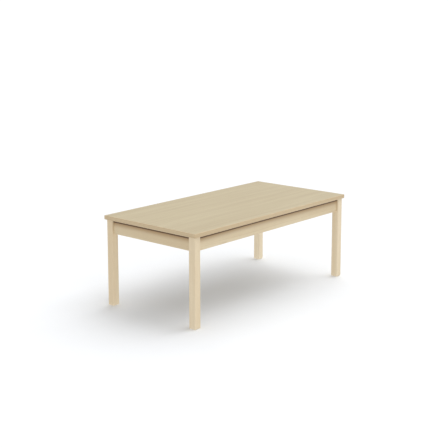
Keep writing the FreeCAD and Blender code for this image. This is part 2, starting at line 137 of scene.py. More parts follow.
class Tree:
    """Node tree of one material or of the world."""

    BUMP_STRENGTH = 0.6

    def __init__(self, owner: Material | bpy.types.World) -> None:
        """Empty the node tree of a material or a world."""
        owner.use_nodes = True
        owner.node_tree.nodes.clear()
        self.owner = owner

    def node(
        self,
        kind: str,
        settings: Mapping[str, object],
        sockets: Mapping[int | str, Entry],
        output: int = 0,
    ) -> Sock:
        """Add a node.

        Args:
            kind: Blender's name of the node type.
            settings: Node properties, set first.
            sockets: Numbers, colours or links for the node's inputs.
            output: Index of the output to hand back.

        Returns:
            The chosen output.
        """
        tree = self.owner.node_tree
        node = tree.nodes.new(kind)
        for name, value in settings.items():
            setattr(node, name, value)
        for key, value in sockets.items():
            if isinstance(value, Sock):
                tree.links.new(value.output, node.inputs[key])
            else:
                node.inputs[key].default_value = value
        return Sock(self, node.outputs[output] if node.outputs else None)

    @classmethod
    def of(cls, material: str) -> "Tree":
        """Tree of a new material."""
        return cls(bpy.data.materials.new(material))

    def place(self) -> Sock:
        """Object coordinates, which are the frame's metres."""
        return self.node("ShaderNodeTexCoord", {}, {}, 3)

    def attribute(self, name: str) -> Sock:
        """Number stored on the piece's points."""
        return self.node("ShaderNodeAttribute", {"attribute_name": name}, {}, 2)

    def noise(self, place: Sock, scale: Sequence[float], detail: float = 2.0, rough: float = 0.5) -> Sock:
        """Noise from 0 to 1.

        Args:
            place: Position in metres.
            scale: Features a metre along each axis.
            detail: Octaves of finer noise.
            rough: Weight of the finer octaves.

        Returns:
            The noise's value.
        """
        stretched = self.vector("MULTIPLY", place, scale)
        sockets = {"Vector": stretched, "Scale": 1.0, "Detail": detail, "Roughness": rough}
        return self.node("ShaderNodeTexNoise", {}, sockets)

    def blend(self, amount: Entry, first: Entry, second: Entry, how: str = "MIX") -> Sock:
        """Mix of two colours.

        Args:
            amount: How much of the second, from 0 to 1.
            first: Colour underneath.
            second: Colour laid over it.
            how: Blending mode.

        Returns:
            The mixed colour.
        """
        settings = {"data_type": "RGBA", "blend_type": how}
        return self.node("ShaderNodeMix", settings, {0: amount, 6: first, 7: second}, 2)

    def split(self, vector: Sock) -> Sock:
        """Parts of a vector; also() picks X, Y or Z."""
        return self.node("ShaderNodeSeparateXYZ", {}, {"Vector": vector})

    def join(self, x: Entry, y: Entry, z: Entry) -> Sock:
        """Vector of three numbers."""
        return self.node("ShaderNodeCombineXYZ", {}, {"X": x, "Y": y, "Z": z})

    def vector(self, operation: str, first: Sock, second: Entry) -> Sock:
        """Vector Math on two vectors."""
        return self.node("ShaderNodeVectorMath", {"operation": operation}, {0: first, 1: second})

    def times(self, colour: Entry, factor: Entry) -> Sock:
        """Product of two colours."""
        return self.blend(1.0, colour, factor, "MULTIPLY")

    def dim(self, colour: Sock, grey: Sock) -> Sock:
        """Colour made lighter or darker by a number."""
        return self.times(colour, self.join(grey, grey, grey))

    def shell(
        self, colour: Sock, roughness: Sock, height: Sock, depth: float, fixed: Mapping[str, Entry]
    ) -> Material:
        """Close the tree with a Principled shader.

        Args:
            colour: Base colour.
            roughness: Roughness.
            height: Relief from 0 to 1.
            depth: Depth of the relief in metres.
            fixed: Values of other sockets.

        Returns:
            The finished material.
        """
        relief = {"Strength": self.BUMP_STRENGTH, "Distance": depth, "Height": height}
        bump = self.node("ShaderNodeBump", {}, relief)
        sockets = {"Base Color": colour, "Roughness": roughness, "Normal": bump, **fixed}
        shader = self.node("ShaderNodeBsdfPrincipled", {}, sockets)
        self.node("ShaderNodeOutputMaterial", {}, {"Surface": shader})
        return self.owner


def display(*colours: tuple[int, int, int]) -> list[Colour]:
    """Linear colours of display colours from 0 to 255: ((c / 255 + 0.055) / 1.055) ** 2.4 for each part."""
    return [(*(((part / 255 + 0.055) / 1.055) ** 2.4 for part in colour), 1.0) for colour in colours]


class Grain(Enum):
    """Direction that the wood's fibres run in, as the order of axes (along, across, across)."""

    X = ("X", "Y", "Z")
    Y = ("Y", "X", "Z")
    Z = ("Z", "X", "Y")


@dataclass(frozen=True)
class Box:
    """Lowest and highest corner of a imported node, in metres."""

    low: Array
    high: Array

    @classmethod
    def of(cls, node: str) -> "Box":
        """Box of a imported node."""
        low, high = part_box(node)
        return cls(np.array(low), np.array(high))

    @property
    def middle(self) -> Array:
        """Centre of the box."""
        return (self.low + self.high) / 2

    @property
    def half(self) -> Array:
        """Half sizes of the box."""
        return (self.high - self.low) / 2


@dataclass(frozen=True)
class Stock:
    """A piece of sawn wood: where it stands and which way its fibres run."""

    box: Box
    grain: Grain

    def centred(self, tree: Tree) -> Sock:
        """Position in metres from the middle of the piece, with the fibres along the first axis."""
        sockets = {"Vector": tree.place(), "Location": -self.box.middle}
        parts = tree.split(tree.node("ShaderNodeMapping", {}, sockets))
        return tree.join(*(parts.also(axis) for axis in self.grain.value))

    def arris(self, tree: Tree, centred: Sock, width: float) -> Sock:
        """Band along the long arrises.

        A face's depth is half size less distance from the middle. The larger depth of the two
        crosswise axes is 0 only on an arris.

        Args:
            tree: Tree to add to.
            centred: Position from the middle of the piece.
            width: Where the band fades out.

        Returns:
            1 on the arris, falling to 0.
        """
        parts = tree.split(centred)
        half = [float(self.box.half["XYZ".index(axis)]) for axis in self.grain.value]
        across = half[1] - abs(parts.also("Y"))
        over = half[2] - abs(parts.also("Z"))
        return 1.0 - across.most(over).rise(0.0, width)


# ---- finishes


@dataclass(frozen=True)
class Shelter:
    """Painted shade close under an overhanging slab: a browner darkening and a thin dark shadow line,
    painted into the wood's colour where the slab's shadow falls.
    """

    deep: Colour = (0.60, 0.47, 0.34, 1.0)
    clear: float = 48 * MM
    full: float = 6 * MM
    fall: float = 1.2
    line: Colour = (0.16, 0.10, 0.05, 1.0)
    line_width: float = 17 * MM

    def tint(self, tree: Tree, colour: Sock, top: float) -> Sock:
        """Colour with the painted shade laid over it.

        Both painted shades multiply the colour. The soft one fades from the depth full to the depth clear.
        The thin line is a painted shadow line in the inner corner under the slab.

        Args:
            tree: Tree to add to.
            colour: Colour of the open wood.
            top: Height of the slab's underside.

        Returns:
            The shaded colour.
        """
        depth = top - tree.split(tree.place()).also("Z")
        # Soft painted shade, darkest next to the slab.
        soft = (1.0 - depth.rise(self.full, self.clear)) ** self.fall
        colour = tree.blend(soft, colour, tree.times(colour, self.deep))
        # Thin painted shadow line just under the slab.
        line = 1.0 - depth.rise(self.line_width / 2, self.line_width)
        return tree.blend(line, colour, tree.times(colour, self.line))


@dataclass(frozen=True)
class Timber:
    """Solid wood under clear lacquer, cut from a log whose pith lies beside the piece.

    Growth rings are cylinders about the pith, bent by noise: long flames on the faces and arcs on
    the ends. Noise is moved by the piece's middle times apart, so that no two pieces match.
    """

    pale: Colour
    warm: Colour
    late: Colour
    wear_and_highlight: Colour
    ring: float = 2.6 * MM
    pith: tuple[float, float] = (0.058, 0.034)
    wander: float = 9 * MM
    late_amount: float = 0.30
    pore_amount: float = 0.22
    worn_width: float = 4 * MM
    wear_and_highlight_amount: float = 0.45
    apart: float = 7.3
    roughness: float = 0.44
    relief: float = 0.12 * MM
    # Painted shade under a slab, if any.
    shelter: Shelter | None = None

    def dress(self, name: str, stock: Stock, wear: str | None = None) -> Material:
        """Material of one piece.

        Args:
            name: Name of the material.
            stock: Where the piece stands and how its fibres run.
            wear: Point attribute that marks the arrises lightened by wear and by a painted highlight, or
                None to work them out from the box.

        Returns:
            The material.
        """
        tree = Tree.of(name)
        at = stock.centred(tree)
        shift = tuple(float(part) for part in stock.box.middle * self.apart)
        log_place = tree.vector("ADD", at, shift)
        late = self._rings(tree, at, log_place)
        tone = tree.noise(log_place, (1.1, 16, 16), 3.0)
        fibre = tree.noise(log_place, (14, 900, 900), 2.0, 0.6)
        pore = tree.noise(log_place, (90, 2400, 2400), 1.0).rise(0.60, 0.74)
        # Flame figure across the grain; in the colour it is also a faint painted sheen.
        flame_and_sheen = tree.noise(log_place, (38, 9, 9))
        rubbed = tree.noise(log_place, (30, 120, 120), 3.0, 0.65)

        arris = tree.attribute(wear) if wear else stock.arris(tree, at, self.worn_width)
        edge = arris * rubbed.rise(0.25, 0.75)
        colour = tree.blend(tone.rise(0.25, 0.75), self.pale, self.warm)
        colour = tree.blend(late * self.late_amount, colour, self.late)
        colour = tree.blend(pore * self.pore_amount, colour, self.late)
        colour = tree.dim(colour, 0.93 + 0.09 * fibre + 0.05 * flame_and_sheen)
        # Lighter arrises: partly wear, partly a painted highlight on the rounded edges.
        colour = tree.blend(edge * self.wear_and_highlight_amount, colour, self.wear_and_highlight)
        # Painted shade and painted shadow line under the slab, for pieces that stand under it.
        if self.shelter:
            colour = self.shelter.tint(tree, colour, float(stock.box.high[2]))
        roughness = self.roughness + 0.10 * (fibre - 0.5) + 0.08 * (flame_and_sheen - 0.5) + 0.14 * edge
        height = 0.5 * fibre + 0.2 * late - 0.5 * pore
        return tree.shell(colour, roughness, height, self.relief, {"IOR": 1.46, "Specular IOR Level": 0.4})

    def _rings(self, tree: Tree, at: Sock, log_place: Sock) -> Sock:
        """Dark latewood lines.

        The ring number is the distance to the pith, bent by noise, over the ring width. In each
        ring the line rises late and ends at once, and noise makes some rings stronger.

        Args:
            tree: Tree to add to.
            at: Position from the middle of the piece, fibres along the first axis.
            log_place: The same, moved by apart.

        Returns:
            1 on a line, 0 between lines.
        """
        parts = tree.split(at)
        bend = tree.noise(log_place, (0.9, 7, 7)) - 0.5
        sway = tree.noise(log_place, (0.7, 5, 5), 1.0) - 0.5
        across = parts.also("Y") + self.pith[0] + self.wander * 2 * bend
        over = parts.also("Z") + self.pith[1] + self.wander * 2 * sway
        number = (across * across + over * over) ** 0.5 / self.ring
        phase = number.fraction()
        line = phase.rise(0.45, 0.93) * (1.0 - phase.rise(0.94, 1.0))
        strong = tree.noise(log_place, (0.5, 140, 140), 1.0).rise(0.3, 0.7)
        return line * (0.35 + 0.65 * strong)


@dataclass(frozen=True)
class Laminate:
    """Thin decorative sheet with a fine straight wood figure along X under a matt press finish."""

    pale: Colour
    warm: Colour
    streak: Colour
    contrast: float = 0.5
    roughness: float = 0.46
    relief: float = 0.05 * MM

    def dress(self, name: str, box: Box) -> Material:
        """Material of one sheet.

        Args:
            name: Name of the material.
            box: Where the sheet lies.

        Returns:
            The material.
        """
        tree = Tree.of(name)
        at = Stock(box, Grain.X).centred(tree)
        drift = tree.noise(at, (0.8, 3.5, 3.5)) - 0.5
        bent = tree.vector("ADD", at, tree.join(0.0, 0.05 * drift, 0.0))
        broad = tree.noise(bent, (0.7, 22, 22), 3.0, 0.55)
        streak = tree.noise(bent, (2.2, 190, 190), 3.0, 0.6)
        fine = tree.noise(bent, (24, 1300, 1300), 2.0, 0.6)
        tick = tree.noise(bent, (60, 1900, 1900), 1.0).rise(0.60, 0.72)
        scuff = tree.noise(at, (5, 5, 5), 4.0, 0.6)
        hair = tree.noise(at, (9, 420, 9)).rise(0.66, 0.71) * scuff.rise(0.45, 0.7)

        colour = tree.blend(broad.rise(0.25, 0.75), self.pale, self.warm)
        colour = tree.blend(streak.rise(0.42, 0.8) * self.contrast, colour, self.streak)
        colour = tree.blend(tick * (0.4 * self.contrast), colour, self.streak)
        colour = tree.dim(colour, 0.965 + 0.07 * fine)
        roughness = self.roughness + 0.08 * (fine - 0.5) + 0.10 * (scuff - 0.5) + 0.10 * hair
        height = 0.6 * fine - 0.4 * tick - 0.3 * hair
        return tree.shell(colour, roughness, height, self.relief, {"IOR": 1.5, "Specular IOR Level": 0.4})


@dataclass(frozen=True)
class Chipboard:
    """Pressed wood flakes: three cell patterns of flat flakes in straw tones."""

    flake: Colour
    resin: Colour

    def dress(self, name: str, box: Box) -> Material:
        """Material of one board.

        Args:
            name: Name of the material.
            box: Where the board lies.

        Returns:
            The material.
        """
        tree = Tree.of(name)
        at = Stock(box, Grain.X).centred(tree)
        flat = tree.vector("MULTIPLY", at, (1, 1, 3.5))
        cells = tree.node("ShaderNodeTexVoronoi", {}, {"Vector": flat, "Scale": 420.0})
        tint = tree.node("ShaderNodeSeparateColor", {}, {"Color": cells.also("Color")})
        dust = tree.noise(at, (900, 900, 1800), 3.0)
        colour = tree.blend(0.75 * tint + 0.25 * dust, self.flake, self.resin)
        roughness = 0.80 + 0.1 * dust
        return tree.shell(colour, roughness, cells, 0.3 * MM, {"Specular IOR Level": 0.25})


@dataclass(frozen=True)
class ZincSteel:
    """Bright zinc plating on pressed steel: cloudy passivation, crossing scratches, duller patches."""

    bright: Colour
    cloud: Colour
    dull: Colour
    roughness: float = 0.34

    def dress(self, name: str) -> Material:
        """Material of every plated piece.

        Args:
            name: Name of the material.

        Returns:
            The material.
        """
        tree = Tree.of(name)
        at = tree.place()
        cloud = tree.noise(at, (70, 70, 70), 4.0, 0.6)
        spangle = tree.noise(at, (900, 900, 900))
        scratch = tree.noise(at, (60, 60, 2600)).rise(0.63, 0.70)
        crossing = tree.noise(at, (1900, 1900, 45)).rise(0.64, 0.70)
        marks = scratch.most(crossing)
        spot = tree.noise(at, (210, 210, 210), 3.0, 0.7).rise(0.62, 0.78)
        colour = tree.blend(cloud.rise(0.3, 0.7), self.bright, self.cloud)
        colour = tree.blend(0.5 * spot, colour, self.dull)
        colour = tree.blend(0.25 * marks, colour, self.bright)
        roughness = self.roughness + 0.16 * (cloud - 0.5) + 0.10 * (spangle - 0.5) + 0.2 * spot + 0.1 * marks
        height = 0.4 * spangle - 0.6 * marks - 0.3 * spot
        return tree.shell(colour, roughness, height, 0.04 * MM, {"Metallic": 1.0})


@dataclass(frozen=True)
class Nylon:
    """Moulded nylon: faint flow clouds, a fine spark texture, and grey scuffs low down."""

    body: Colour
    cloud: Colour
    scuffed: Colour

    def dress(self, name: str) -> Material:
        """Material of the glides.

        Args:
            name: Name of the material.

        Returns:
            The material.
        """
        tree = Tree.of(name)
        at = tree.place()
        flow = tree.noise(at, (120, 120, 120), 3.0)
        spark = tree.noise(at, (3200, 3200, 3200), 1.0)
        rub = tree.noise(at, (700, 160, 300), 4.0, 0.7).rise(0.5, 0.75)
        marks = rub * (1.0 - tree.split(at).also("Z").rise(0.0, 1.6 * MM))
        colour = tree.blend(flow.rise(0.3, 0.7), self.body, self.cloud)
        colour = tree.blend(0.7 * marks, colour, self.scuffed)
        roughness = 0.48 + 0.08 * (spark - 0.5) + 0.2 * marks
        return tree.shell(colour, roughness, 0.5 * spark - 0.5 * marks, 0.05 * MM, {"IOR": 1.53})


@dataclass(frozen=True)
class StudioPaper:
    """Plain pale matt floor with the faintest mottle."""

    tone: Colour = (0.905, 0.92, 0.94, 1.0)
    mottle: Colour = (0.895, 0.91, 0.93, 1.0)

    def dress(self, name: str) -> Material:
        """Material of the floor.

        Args:
            name: Name of the material.

        Returns:
            The material.
        """
        tree = Tree.of(name)
        at = tree.place()
        mottle = tree.noise(at, (3, 3, 3), 3.0)
        tooth = tree.noise(at, (900, 900, 900), 1.0)
        colour = tree.blend(mottle.rise(0.3, 0.7), self.tone, self.mottle)
        roughness = 0.80 + 0.05 * (tooth - 0.5)
        return tree.shell(colour, roughness, tooth, 0.02 * MM, {"Specular IOR Level": 0.1})


# Colours of a timber in order: pale, warm, late, and the lighter arris colour for wear and a painted
# highlight. Those of a laminate: pale, warm, streak.
BIRCH = Timber(*display((233, 217, 187), (223, 203, 169), (197, 169, 129), (240, 228, 203)))
# Lighter copy of the birch for the back right leg: painted light, standing in for the brighter light on that
# leg.
BIRCH_PAINTED_LIGHTER = Timber(*display((239, 224, 195), (229, 210, 177), (203, 176, 137), (244, 233, 210)))
# The aprons' birch, with painted shade and a painted shadow line under the slab.
BIRCH_APRON = Timber(
    *display((224, 208, 176), (214, 194, 159), (189, 160, 120), (236, 222, 194)), shelter=Shelter()
)
BIRCH_LIPPING = Timber(
    *display((208, 187, 152), (198, 175, 139), (172, 142, 104), (226, 208, 176)),
    ring=1.7 * MM,
    pith=(0.09, 0.015),
    wander=4 * MM,
)
BEECH = Timber(
    *display((214, 182, 148), (202, 166, 130), (168, 126, 92), (224, 198, 168)),
    ring=1.9 * MM,
    pith=(0.04, 0.02),
    roughness=0.62,
    relief=0.2 * MM,
)
BIRCH_LAMINATE = Laminate(*display((199, 186, 154), (190, 175, 143), (171, 153, 121)))
BACKING = Laminate(
    *display((172, 169, 162), (165, 162, 154), (150, 147, 140)), contrast=0.25, roughness=0.55
)
CHIPBOARD = Chipboard(*display((206, 178, 134), (146, 112, 74)))
ZINC = ZincSteel(*display((206, 208, 211), (178, 178, 172), (132, 130, 124)))
NYLON = Nylon(*display((214, 211, 202), (198, 195, 186), (150, 145, 136)))
PAPER = StudioPaper()


# ---- surfaces


def softened(corners: Array, radii: Array, steps: int, hold: float) -> Array:
    """Closed outline with arcs for corners.

    Where the sides turn by t at a corner C, an arc of radius r starts at A and ends at B, both
    r tan(t / 2) from C. Its points are ((1-s)^2 A + 2 w s(1-s) C + s^2 B) divided by
    ((1-s)^2 + 2 w s(1-s) + s^2), with w = cos(t / 2). One more point just outside each end keeps
    the flat beside it flat when it is shaded.

    Args:
        corners: Corners in order, (..., corners, 2).
        radii: Radius at each, (..., corners).
        steps: Points on each arc.
        hold: Distance of the outside points from the arc.

    Returns:
        The outline, (..., corners * (steps + 2), 2).
    """
    before = np.roll(corners, 1, axis=-2) - corners
    after = np.roll(corners, -1, axis=-2) - corners
    before = before / np.linalg.norm(before, axis=-1, keepdims=True)
    after = after / np.linalg.norm(after, axis=-1, keepdims=True)
    half_turn = (np.pi - np.arccos(np.clip(np.sum(before * after, axis=-1), -1, 1))) / 2
    reach = (radii * np.tan(half_turn))[..., None]
    weight = np.cos(half_turn)[..., None, None]
    start, end = corners + before * reach, corners + after * reach
    along = np.linspace(0, 1, steps)[:, None]
    first, middle, last = (1 - along) ** 2, 2 * weight * along * (1 - along), along**2
    arc = first * start[..., None, :] + middle * corners[..., None, :] + last * end[..., None, :]
    arc = arc / (first + middle + last)
    outer = np.where(radii[..., None] > 0, hold, 0.0)
    ahead, behind = start + before * outer, end + after * outer
    points = np.concatenate([ahead[..., None, :], arc, behind[..., None, :]], axis=-2)
    return points.reshape(*corners.shape[:-2], -1, 2)


def around(radius: Array, angle: Array, height: Array) -> Array:
    """Points at a radius, angle and height about Z: x = r cos a, y = r sin a, z = height."""
    return np.stack(np.broadcast_arrays(radius * np.cos(angle), radius * np.sin(angle), height), axis=-1)


def angles(columns: int) -> Array:
    """Evenly spaced angles round a circle."""
    return np.linspace(0, 2 * np.pi, columns, endpoint=False)


def lathe(profile: Array, columns: int) -> Array:
    """Rings of a profile of radii and heights, (rows, 2), turned about Z."""
    return around(profile[:, :1], angles(columns), profile[:, 1:])


def narrowed(rings: Array, factor: Array) -> Array:
    """Rings drawn in towards Z by a factor."""
    return np.concatenate([rings[..., :2] * factor, rings[..., 2:]], axis=-1)


def loops(*corners: tuple[Array, Array]) -> Array:
    """Outlines, (rows, corners, 2), from the x and the y that each corner has on every row."""
    return np.stack([np.stack(corner, axis=-1) for corner in corners], axis=1)


def threaded(radius: float, depth: float, pitch: float, length: float, columns: int, rows: int) -> Array:
    """Thread cut along Z.

    At height v and fraction u of a turn, the radius is the outer one less the depth times
    |2 fraction(v / pitch - u) - 1|. The depth fades out over the last pitch at each end.

    Args:
        radius: Outer radius.
        depth: Depth of the groove.
        pitch: Climb a turn.
        length: Length of the thread.
        columns: Points round each ring.
        rows: Rings a pitch.

    Returns:
        Rings of points from Z 0 to the length, (rows, columns, 3).
    """
    height = np.linspace(0, length, int(round(length / pitch * rows)) + 1)[:, None]
    turn = np.linspace(0, 1, columns, endpoint=False)[None, :]
    saw = (height / pitch - turn) % 1.0
    fade = np.clip(np.minimum(height, length - height) / pitch, 0, 1)
    ring = radius - depth * fade * np.abs(2 * saw - 1)
    return around(ring, 2 * np.pi * turn, height)


def risen(outline: Array, height: Array) -> Array:
    """Rings, (rows, columns, 3), of each row's outline, (rows, columns, 2), at that row's height."""
    level = np.broadcast_to(height[:, None, None], (*outline.shape[:2], 1))
    return np.concatenate([outline, level], axis=-1)


def level_turn(cosine: float, sine: float) -> Array:
    """Turn about Z by the angle with this cosine and sine."""
    return np.array([[cosine, -sine, 0], [sine, cosine, 0], [0, 0, 1]], float)


def spin(degrees: float) -> Array:
    """Turn about Z by an angle in degrees."""
    return level_turn(math.cos(math.radians(degrees)), math.sin(math.radians(degrees)))


def aim(direction: Sequence[float]) -> Array:
    """Turn that takes Z to a direction: its columns are two cross products and the direction.

    Args:
        direction: Where Z is to point, of any length.

    Returns:
        The turn, (3, 3).
    """
    ahead = np.array(direction, float)
    ahead /= np.linalg.norm(ahead)
    beside = np.cross((0.0, 0.0, 1.0), ahead)
    if np.linalg.norm(beside) < 1e-9:
        beside = np.array([1.0, 0.0, 0.0])
    beside /= np.linalg.norm(beside)
    return np.stack([beside, np.cross(ahead, beside), ahead], axis=1)


@dataclass
class Skin:
    """One closed surface: rings of points, whether the last ring joins the first, and wear."""

    rings: Array
    looped: bool = False
    wear: Array | None = None

    @classmethod
    def capped(cls, rings: Array, wear: Array | None = None) -> "Skin":
        """Surface with each end closed by a ring drawn together to the middle of the end ring.

        Args:
            rings: Rings of points, (rows, columns, 3).
            wear: Wear of each point, if any.

        Returns:
            The surface.
        """
        first, last = (np.broadcast_to(end.mean(axis=0), (1, *end.shape)) for end in (rings[0], rings[-1]))
        if wear is not None:
            wear = np.pad(wear, ((1, 1), (0, 0)), mode="edge")
        return cls(np.concatenate([first, rings, last]), wear=wear)

    def moved(self, turn: Array, place: Array) -> "Skin":
        """The same surface turned, then moved."""
        return Skin(self.rings @ turn.T + place, self.looped, self.wear)

    def quads(self) -> Array:
        """Faces between neighbouring rings.

        Returns:
            Four corner numbers a face.
        """
        rows, columns = self.rings.shape[:2]
        row = np.arange(rows if self.looped else rows - 1)[:, None]
        column = np.arange(columns)[None, :]
        beside = (column + 1) % columns
        above = (row + 1) % rows
        pairs = ((row, column), (row, beside), (above, beside), (above, column))
        return np.stack([level * columns + spot for level, spot in pairs], axis=-1).reshape(-1, 4)


def linked(name: str, data: bpy.types.ID) -> Object:
    """New object in the scene."""
    thing = bpy.data.objects.new(name, data)
    bpy.context.scene.collection.objects.link(thing)
    return thing


def build(name: str, skins: Sequence[Skin]) -> Object:
    """Make one object of closed surfaces.

    Args:
        name: Name of the object.
        skins: Its surfaces.

    Returns:
        The object, with shared points merged and faces turned outwards.
    """
    points, faces, wear, count = [], [], [], 0
    for skin in skins:
        flat = skin.rings.reshape(-1, 3)
        points.append(flat)
        faces.append(skin.quads() + count)
        wear.append(np.zeros(len(flat)) if skin.wear is None else skin.wear.reshape(-1))
        count += len(flat)
    mesh = bpy.data.meshes.new(name)
    mesh.from_pydata(np.concatenate(points), [], np.concatenate(faces).tolist())
    mark = mesh.attributes.new("wear", "FLOAT", "POINT")
    mark.data.foreach_set("value", np.concatenate(wear).astype(np.float32))
    editing = bmesh.new()
    editing.from_mesh(mesh)
    bmesh.ops.remove_doubles(editing, verts=editing.verts, dist=MERGE)
    bmesh.ops.dissolve_degenerate(editing, edges=editing.edges, dist=MERGE / 10)
    bmesh.ops.recalc_face_normals(editing, faces=editing.faces)
    editing.to_mesh(mesh)
    editing.free()
    mesh.polygons.foreach_set("use_smooth", np.ones(len(mesh.polygons), bool))
    mesh.set_sharp_from_angle(angle=CRISP)
    return linked(name, mesh)


def stand_in(node: str, skins: Sequence[Skin], material: Material) -> None:
    """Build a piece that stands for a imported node.

    Args:
        node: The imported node.
        skins: Surfaces of the piece.
        material: Its material.
    """
    piece = build(f"{node}_fine", skins)
    piece.data.materials.append(material)
    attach(piece, "root")
    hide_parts(node)
    log.info("built %s in place of %s: %d faces", piece.name, node, len(piece.data.polygons))


def dress_node(node: str, material: Material) -> None:
    """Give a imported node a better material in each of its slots.

    Args:
        node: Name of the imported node.
        material: Its new material.
    """
    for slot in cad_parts[node].material_slots:
        slot.material = material
    log.info("dressed %s with %s", node, material.name)


# ---- sub-assemblies


class Corner(Enum):
    """A corner of the frame: side along X, side along Y, cosine and sine of its axes' turn."""

    FRONT_LEFT = (-1, -1, 1, 0)
    FRONT_RIGHT = (1, -1, 0, 1)
    BACK_RIGHT = (1, 1, -1, 0)
    BACK_LEFT = (-1, 1, 0, -1)

    @property
    def label(self) -> str:
        """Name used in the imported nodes."""
        return self.name.lower()

    @property
    def turn(self) -> Array:
        """Turn about Z that takes the frame's axes to the corner's own."""
        return level_turn(*self.value[2:])

    def at(self, along: float, inward: float, height: float) -> Array:
        """Point given from the leg's outer arris.

        Args:
            along: Distance in on the corner's first axis.
            inward: Distance in on its second.
            height: Height over the floor.

        Returns:
            The point in the frame's axes.
        """
        leg = Box.of(f"leg_{self.label}")
        outer = np.where(np.array(self.value[:2]) < 0, leg.low[:2], leg.high[:2])
        return np.array([*outer, 0.0]) + self.turn @ np.array([along, inward, height])


SIDES = (("front", Grain.X), ("back", Grain.X), ("left", Grain.Y), ("right", Grain.Y))
INWARD = {"front": (0, 1, 0), "back": (0, -1, 0), "left": (1, 0, 0), "right": (-1, 0, 0)}


@dataclass
class TableTop:
    """Laminated board with a solid lipping on each side."""

    arris: float = 2 * MM
    least_round: float = 0.02 * MM
    hold: float = 0.25 * MM
    end_wear: float = 0.1
    steps: int = 7

    def make(self) -> None:
        """Dress the board's layers and build the four lippings."""
        for node, finish, name in (
            ("top_laminate", BIRCH_LAMINATE, "laminate_top"),
            ("balance_laminate", BACKING, "laminate_backing"),
            ("top_core", CHIPBOARD, "core_chipboard"),
        ):
            dress_node(node, finish.dress(name, Box.of(node)))
        for side, grain in SIDES:
            self._lipping(side, grain)

    def _lipping(self, side: str, grain: Grain) -> None:
        """Build one lipping.

        A rectangle is carried up through its height. Near the bottom and the top its outer side and
        showing ends draw in by r (1 - sin a), so their arrises are round. A row at the distance
        hold from each rounding keeps the flat beside it flat.

        Args:
            side: Which lipping.
            grain: Direction of its fibres.
        """
        node = f"lipping_{side}"
        box = Box.of(node)
        angle = np.linspace(0, np.pi / 2, self.steps)
        inset, rise = self.arris * (1 - np.sin(angle)), self.arris * (1 - np.cos(angle))
        inset = np.concatenate([[inset[0] + self.hold], inset, [0.0]])
        rise = np.concatenate([[0.0], rise, [rise[-1] + self.hold]])
        inset = np.concatenate([inset, inset[::-1]])
        height = np.concatenate([box.low[2] + rise, box.high[2] - rise[::-1]])
        # Lightening of each row's arris: partly wear, partly a painted highlight.
        wear_and_highlight = self.end_wear + (1 - self.end_wear) * np.linspace(0, 1, len(rise))[:-1] ** 0.5
        wear_and_highlight = np.concatenate([wear_and_highlight, [0.0, 0.0], wear_and_highlight[::-1]])

        ends_show = side in ("front", "back")
        shows_x = (side == "left" or ends_show, side == "right" or ends_show)
        shows_y = (side == "front", side == "back")
        x = (box.low[0] + inset * shows_x[0], box.high[0] - inset * shows_x[1])
        y = (box.low[1] + inset * shows_y[0], box.high[1] - inset * shows_y[1])
        order = ((0, 0), (1, 0), (1, 1), (0, 1))
        corners = loops(*((x[i], y[j]) for i, j in order))
        round_corner = np.array([shows_x[i] and shows_y[j] for i, j in order])
        radii = np.maximum(self.arris - inset[:, None], self.least_round) * round_corner
        rings = risen(softened(corners, radii, self.steps, 0.2 * MM), height)
        skin = Skin.capped(rings, np.broadcast_to(wear_and_highlight[:, None], rings.shape[:2]))
        material = BIRCH_LIPPING.dress(f"birch_{node}", Stock(box, grain), "wear")
        stand_in(node, [skin], material)


